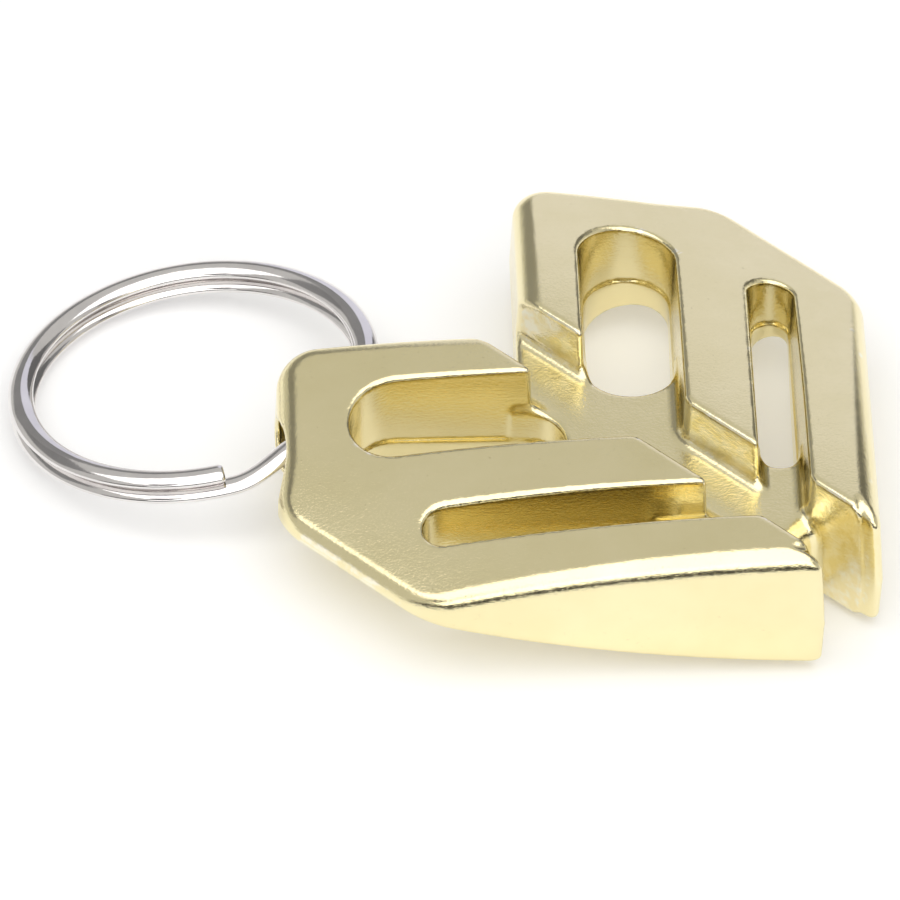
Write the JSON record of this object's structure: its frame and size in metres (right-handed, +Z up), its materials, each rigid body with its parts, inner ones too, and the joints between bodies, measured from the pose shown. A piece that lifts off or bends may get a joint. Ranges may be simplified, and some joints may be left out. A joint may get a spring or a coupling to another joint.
{
  "type": "keychain bottle opener",
  "caption": "Pocket bottle opener: two slotted arms in a chevron, cast in gold-coloured metal, with a split key ring swinging in a hole through one back corner.",
  "frame": {"origin": "on the underside's flat resting strip, on the plane of symmetry, at the centre of the body's outline", "axes": "+Z up from the surface it lies on; +X along the left arm towards the point; +Y along the right arm, away from the point; the body mirrors across the plane normal to (1, 1, 0)"},
  "size_m": [0.0627, 0.043, 0.011],
  "materials": {
    "gold_casting": "satin champagne-gold plating over a casting, slightly brighter on worn edges",
    "ring_steel": "polished nickel plating"
  },
  "bodies": {
    "casting": {"opener_body": "gold_casting"},
    "key_ring": {"split_ring": "ring_steel"}
  },
  "joints": [
    {"name": "ring_swing", "type": "hinge", "parent": "casting", "child": "key_ring", "pos_m": [-0.01786, 0.00026, 0.0054], "axis": [0.5878, 0.809, 0], "range_deg": [-70, 105]}
  ]
}
